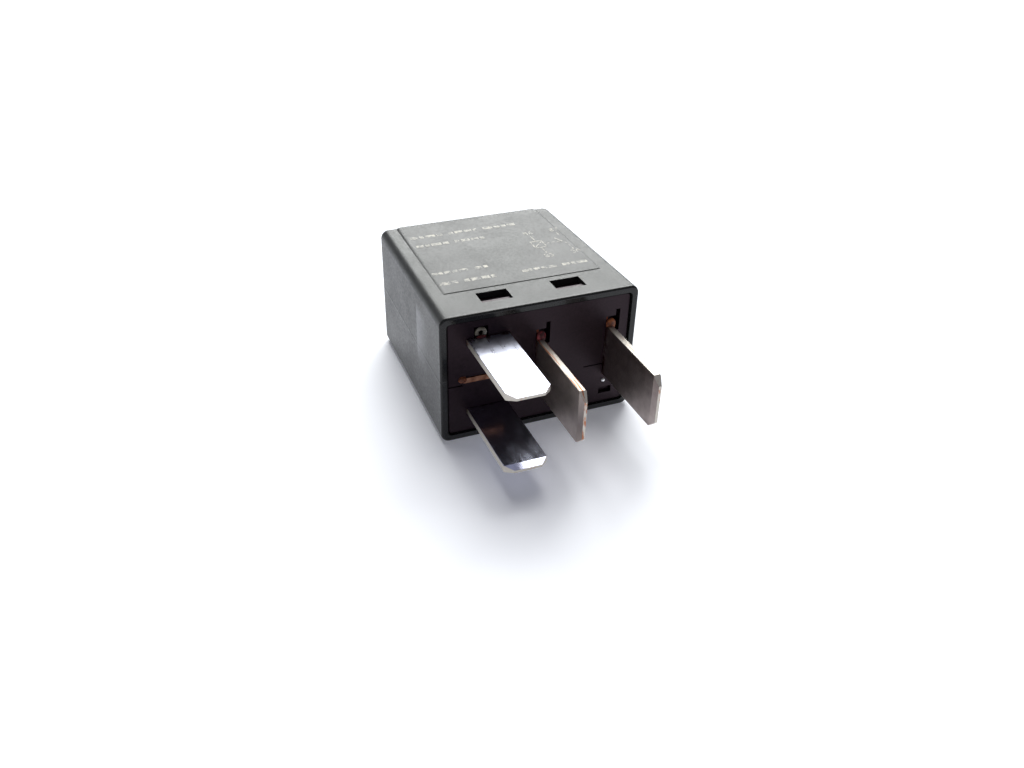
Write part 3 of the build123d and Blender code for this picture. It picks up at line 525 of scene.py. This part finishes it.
# A wave texture of scale 1 repeats each 0.314 m
wave_period = 0.314
finish, tree, shader, place = new_finish("enamelled_copper_wire")
turns = add_node(tree, "ShaderNodeTexWave",
                 {"bands_direction": "Y", "Scale": wave_period / wire_pitch, "Distortion": 0.6,
                  "Detail": 1}, {"Vector": place.outputs["Object"]})
shade = add_node(tree, "ShaderNodeTexNoise", {"Scale": patches(2), "Detail": 3},
                 {"Vector": place.outputs["Object"]})
tint = add_node(tree, "ShaderNodeMix", {"data_type": "RGBA", 6: linear("7A3418"),
                                        7: linear("B8602E")}, {0: shade.outputs["Fac"]})
round_wire = add_node(tree, "ShaderNodeBump", {"Strength": 0.8, "Distance": 0.06 * MM},
                      {"Height": turns.outputs["Fac"]})
shader.inputs["Metallic"].default_value = 1.0
shader.inputs["Roughness"].default_value = 0.34
shader.inputs["Coat Weight"].default_value = 0.5
tree.links.new(tint.outputs[2], shader.inputs["Base Color"])
tree.links.new(round_wire.outputs[0], shader.inputs["Normal"])
dress(finish, "winding", "coil_lead_85", "coil_lead_86")
print("wire on winding and two leads")

# %% Natural nylon
finish, tree, shader, place = new_finish("natural_moulded_nylon")
flow = add_node(tree, "ShaderNodeTexNoise", {"Scale": patches(2.5), "Detail": 3, "Distortion": 0.5},
                {"Vector": place.outputs["Object"]})
tint = add_node(tree, "ShaderNodeMix", {"data_type": "RGBA", 6: linear("D8D0BC"),
                                        7: linear("E9E4D6")}, {0: flow.outputs["Fac"]})
skin = add_node(tree, "ShaderNodeMapRange", {"To Min": 0.32, "To Max": 0.46},
                {"Value": flow.outputs["Fac"]})
shader.inputs["Subsurface Weight"].default_value = 0.15
shader.inputs["Subsurface Scale"].default_value = 0.5 * MM
tree.links.new(tint.outputs[2], shader.inputs["Base Color"])
tree.links.new(skin.outputs[0], shader.inputs["Roughness"])
dress(finish, "bobbin")
print("nylon on the bobbin")

# %% Lacquered ceramic rod with colour rings
rod_low, rod_high = (corner.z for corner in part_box("resistor"))
finish, tree, shader, place = new_finish("lacquered_ceramic_rod")
axes = add_node(tree, "ShaderNodeSeparateXYZ", None, {0: place.outputs["Object"]})
share = add_node(tree, "ShaderNodeMapRange", {"From Min": rod_low, "From Max": rod_high},
                 {"Value": axes.outputs["Z"]})
rings = add_node(tree, "ShaderNodeValToRGB", None, {0: share.outputs[0]})
rings.color_ramp.interpolation = "CONSTANT"
body = "9FB4B4"
rings.color_ramp.elements[0].color = linear(body)
rings.color_ramp.elements[1].position = 0.1
rings.color_ramp.elements[1].color = linear("5A3A26")
for start, colour in ((0.17, body), (0.27, "3E5A86"), (0.34, body), (0.44, "B0622E"),
                      (0.51, body), (0.78, "B08C3A"), (0.85, body)):
    rings.color_ramp.elements.new(start).color = linear(colour)
dip = add_node(tree, "ShaderNodeTexNoise", {"Scale": patches(1.1), "Detail": 2},
               {"Vector": place.outputs["Object"]})
lumpy = add_node(tree, "ShaderNodeBump", {"Strength": 0.2, "Distance": 0.05 * MM},
                 {"Height": dip.outputs["Fac"]})
shader.inputs["Roughness"].default_value = 0.3
tree.links.new(rings.outputs[0], shader.inputs["Base Color"])
tree.links.new(lumpy.outputs[0], shader.inputs["Normal"])
dress(finish, "resistor")
print("rod", round((rod_high - rod_low) / MM, 2), "mm long, with four rings")

# %% [markdown]
# ## Worn print on the panel
# The label is pad printed in a pale ink straight onto the plastic, and handling has rubbed
# much of it off. Here it is generic: rows of plain dashes in the place of words, and the usual
# diagram of coil and contact with its terminal numbers. The marks are drawn flat as small
# planes in one mesh, and the numbers as text. Then they get the ink's thickness and
# are tilted onto the panel, which falls a tenth of a millimetre towards the closed end.

# %% The panel's fall
panel_front = rim_y + 5.2 * MM
panel_back = rim_y + 23.2 * MM
panel_low = max(v.co.z for v in nodes["cover"].data.vertices if v.co.y > panel_back - 0.1 * MM)
fall = math.atan((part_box("cover")[1].z - panel_low) / (panel_back - panel_front))
print("panel falls", round(math.degrees(fall), 2), "degrees")


# %% Dashes and diagram
def print_bar(x, depth, length, height, turn=0):
    """One flat mark of the print, in mm from the middle and from the rim, turned in degrees."""
    place = Vector((x * MM, rim_y + depth * MM, 0))
    bpy.ops.mesh.select_all(action="DESELECT")
    bpy.ops.mesh.primitive_plane_add(size=MM, location=place)
    bpy.ops.transform.resize(value=(length, height, 1))
    if turn:
        bpy.ops.transform.rotate(value=-math.radians(turn), orient_axis="Z",
                                 center_override=place)


bpy.ops.object.select_all(action="DESELECT")
bpy.ops.mesh.primitive_plane_add(size=MM, location=(0, 0, 0))
label_print = bpy.context.object
label_print.name = "label_print"
bpy.ops.object.mode_set(mode="EDIT")
bpy.ops.mesh.delete(type="VERT")
# Rows of dashes in mm: left end, right end, depth from the rim, height of the marks
rows = ((-8.5, 5.6, 19.7, 0.6), (-8.5, 0.5, 17.3, 0.6), (-9.0, -1.9, 9.9, 0.55),
        (-9.0, -1.9, 7.4, 0.7), (0.7, 9.3, 7.4, 0.55))
lengths = (0.9, 0.5, 1.2, 0.7, 0.6, 1.0)
dash_gap, word_gap, dashes_a_word = 0.22, 0.75, 4
count = 0
for left, right, depth, height in rows:
    x = left
    while x < right - 0.5:
        length = min(lengths[count % len(lengths)], right - x)
        print_bar(x + length / 2, depth, length, height)
        x += length + (word_gap if count % dashes_a_word == dashes_a_word - 1 else dash_gap)
        count += 1
# The coil: a box with a slanting stroke and its two leads
stroke = 0.15
for x, depth, length, height, turn in (
        (5.2, 14.1, 1.5, stroke, 0), (5.2, 12.4, 1.5, stroke, 0),
        (4.5, 13.25, stroke, 1.7, 0), (5.9, 13.25, stroke, 1.7, 0),
        (5.2, 13.25, 1.7, stroke, 45), (5.2, 14.9, stroke, 1.6, 0), (5.2, 11.6, stroke, 1.6, 0),
        # The contact: two leads and the open arm
        (8.6, 15.1, stroke, 1.2, 0), (8.6, 11.6, stroke, 1.6, 0), (8.15, 13.3, stroke, 2.1, 25),
        # The dashed line that links them
        (6.4, 13.25, 0.45, stroke, 0), (7.1, 13.25, 0.45, stroke, 0),
        (7.8, 13.25, 0.45, stroke, 0)):
    print_bar(x, depth, length, height, turn)
bpy.ops.object.mode_set(mode="OBJECT")
print("print of", count, "dashes and a diagram of 13 strokes")

# %% Terminal numbers
numbers = []
for words, x, depth in (("86", 5.2, 16.5), ("87", 8.6, 16.5),
                        ("85", 5.2, 10.1), ("30", 8.6, 10.1)):
    bpy.ops.object.text_add(location=(x * MM, rim_y + depth * MM, 0))
    number = bpy.context.object
    number.data.body = words
    number.data.size = 1.25 * MM
    number.data.align_x = "CENTER"
    number.data.align_y = "CENTER"
    number.data.resolution_u = 3
    bpy.ops.object.convert(target="MESH")
    bpy.ops.object.transform_apply(location=True, rotation=True, scale=True)
    numbers.append(number)
bpy.ops.object.select_all(action="DESELECT")
for number in numbers:
    number.select_set(True)
label_print.select_set(True)
bpy.context.view_layer.objects.active = label_print
bpy.ops.object.join()
print("terminal numbers joined to the print")

# %% Ink onto the panel
ink_thick, ink_lift = 0.006 * MM, 0.001 * MM
bpy.ops.object.mode_set(mode="EDIT")
bpy.ops.mesh.select_all(action="SELECT")
bpy.ops.mesh.normals_make_consistent(inside=False)
bpy.ops.object.mode_set(mode="OBJECT")
thick = label_print.modifiers.new("ink", "SOLIDIFY")
thick.thickness = ink_thick
thick.offset = 1
bpy.ops.object.modifier_apply(modifier="ink")
bpy.ops.object.mode_set(mode="EDIT")
bpy.ops.mesh.select_all(action="SELECT")
bpy.ops.transform.rotate(value=fall, orient_axis="X", center_override=(0, panel_front, 0))
bpy.ops.transform.translate(value=(0, 0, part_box("cover")[1].z + ink_lift))
bpy.ops.object.mode_set(mode="OBJECT")
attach(label_print, "relay")
ink_z = [v.co.z / MM for v in label_print.data.vertices]
print("ink from", round(min(ink_z), 3), "to", round(max(ink_z), 3), "mm high")

# %% Pale pad-printing ink
finish, tree, shader, place = new_finish("worn_pad_print_ink")
rubbed = add_node(tree, "ShaderNodeTexNoise",
                  {"Scale": patches(0.53), "Detail": 5, "Roughness": 0.65},
                  {"Vector": place.outputs["Object"]})
left = add_node(tree, "ShaderNodeMapRange", {"From Min": 0.4, "From Max": 0.62},
                {"Value": rubbed.outputs["Fac"]})
tint = add_node(tree, "ShaderNodeMix", {"data_type": "RGBA", 6: linear("262726"),
                                        7: linear("AFAA9C")}, {0: left.outputs[0]})
shader.inputs["Roughness"].default_value = 0.5
tree.links.new(tint.outputs[2], shader.inputs["Base Color"])
label_print.data.materials.append(finish)
print("ink mixed")

# %% [markdown]
# ## The contact leaf
# One strip of spring bronze is hinge, return spring and contact arm at once: its foot is
# riveted to the yoke's back, it bends round the armature's edge, and it is riveted to the
# armature. When the armature closes, the foot stays and the arm swings, so the leaf bends.
# The CAD's leaf is rigid, so a copy of its mesh stands for it here. It is cut across
# several times below the bend.

# %% Copy of the leaf
bpy.ops.object.select_all(action="DESELECT")
leaf = nodes["contact_spring"].copy()
leaf.data = leaf.data.copy()
leaf.name = "contact_leaf"
leaf.parent = None
bpy.context.collection.objects.link(leaf)
leaf.select_set(True)
bpy.context.view_layer.objects.active = leaf
# The copy is a new piece, so it drops the marks that name it as a CAD node
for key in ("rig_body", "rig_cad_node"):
    if key in leaf:
        del leaf[key]
leaf.data.materials.clear()
leaf.data.materials.append(bronze)
print("leaf copied with", len(leaf.data.vertices), "vertices")

# %% Cuts below the leaf's bend
yoke_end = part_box("yoke")[1].y
bpy.ops.object.mode_set(mode="EDIT")
bpy.ops.mesh.select_all(action="SELECT")
bpy.ops.mesh.remove_doubles(threshold=0.001 * MM)
for below in (0.4, 1.1, 1.8, 2.5, 3.2):
    bpy.ops.mesh.select_all(action="SELECT")
    bpy.ops.mesh.bisect(plane_co=(0, yoke_end - below * MM, 0), plane_no=(0, 1, 0))
bpy.ops.object.mode_set(mode="OBJECT")
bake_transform(leaf)
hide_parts("contact_spring")
print("leaf with", len(leaf.data.vertices), "vertices bends below the yoke's end")

# %% [markdown]
# ## Drops of flux, and painted light at the moulded eye
# Where the blades leave the base the picture shows small drops. Flux has crept up and set
# in amber and brown beads at the roots of two blades and at the end of the copper strip.
# A tiny ball of solder sits under one blade. At the moulded eye over the upper coil blade a
# pale arch is a painted highlight where the eye's rim catches the light, and a flat brown
# drop below it is a painted reflection of the blade. A drop is a ball that was squashed and
# made a little uneven before its faces were smoothed, so that no two of them look alike.

# %% Drops of flux and solder, and a painted reflection
base_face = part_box("base")[0].y


def set_drop(name, x, z, half_width, half_depth, half_height, seed):
    """A set drop with its middle on the base's outer face, its place and size in mm."""
    bpy.ops.object.select_all(action="DESELECT")
    middle = Vector((x * MM, base_face, z * MM))
    bpy.ops.mesh.primitive_ico_sphere_add(subdivisions=3, radius=MM, location=middle)
    drop = bpy.context.object
    drop.name = name
    bpy.ops.object.mode_set(mode="EDIT")
    bpy.ops.transform.vertex_random(offset=0.12 * MM, uniform=0.5, seed=seed)
    bpy.ops.transform.resize(value=(half_width, half_depth, half_height))
    bpy.ops.object.mode_set(mode="OBJECT")
    bpy.ops.object.transform_apply(location=True, rotation=True, scale=True)
    smooth = drop.modifiers.new("set", "SMOOTH")
    smooth.iterations = 3
    bpy.ops.object.modifier_apply(modifier="set")
    finer = drop.modifiers.new("finer", "SUBSURF")
    finer.levels = 1
    bpy.ops.object.modifier_apply(modifier="finer")
    bpy.ops.object.shade_smooth()
    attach(drop, "relay")
    return drop


# Name, place across, place up, half width, half depth, half height, seed
dark_drops = [set_drop("flux_at_terminal_87", 0.06, 11.12, 0.56, 0.4, 0.8, 1),
              # A flat brown drop below the eye: a painted reflection of the blade
              set_drop("painted_reflection_below_eye", -6.85, 12.48, 0.6, 0.22, 0.28, 6)]
amber_drops = [set_drop("flux_at_terminal_30", 8.42, 11.08, 0.62, 0.3, 0.82, 2),
               set_drop("flux_at_stop_strip", -8.95, 7.65, 0.5, 0.4, 0.42, 3)]
solder_ball = set_drop("solder_ball", 8.11, 3.78, 0.3, 0.3, 0.3, 4)
print("five drops, each with", len(solder_ball.data.vertices), "vertices")

# %% Painted highlight in the moulded eye
# A pale arch round the bore: a painted highlight where the eye's rim catches the light
eye_middle = Vector((-6.86 * MM, base_face + 0.12 * MM, 13.0 * MM))
bpy.ops.object.select_all(action="DESELECT")
bpy.ops.mesh.primitive_torus_add(location=eye_middle, rotation=(math.pi / 2, 0, 0),
                                 major_radius=0.46 * MM, minor_radius=0.22 * MM,
                                 major_segments=40, minor_segments=14)
eye_highlight_arch = bpy.context.object
eye_highlight_arch.name = "painted_highlight_in_eye"
bpy.ops.object.transform_apply(location=True, rotation=True, scale=True)
bpy.ops.object.mode_set(mode="EDIT")
bpy.ops.mesh.select_all(action="SELECT")
bpy.ops.mesh.bisect(plane_co=eye_middle - Vector((0, 0, 0.2 * MM)), plane_no=(0.1, 0, 1),
                    clear_inner=True, use_fill=True)
bpy.ops.mesh.select_all(action="SELECT")
bpy.ops.transform.vertex_random(offset=0.025 * MM, uniform=0.5, seed=5)
bpy.ops.object.mode_set(mode="OBJECT")
finer = eye_highlight_arch.modifiers.new("finer", "SUBSURF")
finer.levels = 1
bpy.ops.object.modifier_apply(modifier="finer")
bpy.ops.object.shade_smooth()
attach(eye_highlight_arch, "relay")
print("arch of resin", round(eye_highlight_arch.dimensions.x / MM, 2), "mm wide")

# %% Set flux, and paint for the light at the eye
for name, light, dark, rough, pieces in (
        # Brown: set flux at terminal 87, and a painted reflection below the eye
        ("set_brown_flux_and_painted_reflection", "843438", "401A1C", 0.5, dark_drops),
        ("set_amber_flux", "9E5A34", "5A3426", 0.5, amber_drops),
        # Pale: a painted highlight on the eye's arch
        ("pale_paint_for_eye_highlight", "B9B6A8", "6A6254", 0.3, [eye_highlight_arch])):
    finish, tree, shader, place = new_finish(name)
    depth = add_node(tree, "ShaderNodeTexNoise", {"Scale": patches(0.63), "Detail": 3},
                     {"Vector": place.outputs["Object"]})
    spread = add_node(tree, "ShaderNodeMapRange", {"From Min": 0.36, "From Max": 0.6},
                      {"Value": depth.outputs["Fac"]})
    tint = add_node(tree, "ShaderNodeMix", {"data_type": "RGBA", 6: linear(light),
                                            7: linear(dark)}, {0: spread.outputs[0]})
    shader.inputs["Roughness"].default_value = rough
    shader.inputs["Specular IOR Level"].default_value = 0.2
    tree.links.new(tint.outputs[2], shader.inputs["Base Color"])
    for piece in pieces:
        piece.data.materials.clear()
        piece.data.materials.append(finish)
solder_ball.data.materials.append(nodes["solder_caps"].data.materials[0])
print("flux and resin mixed")
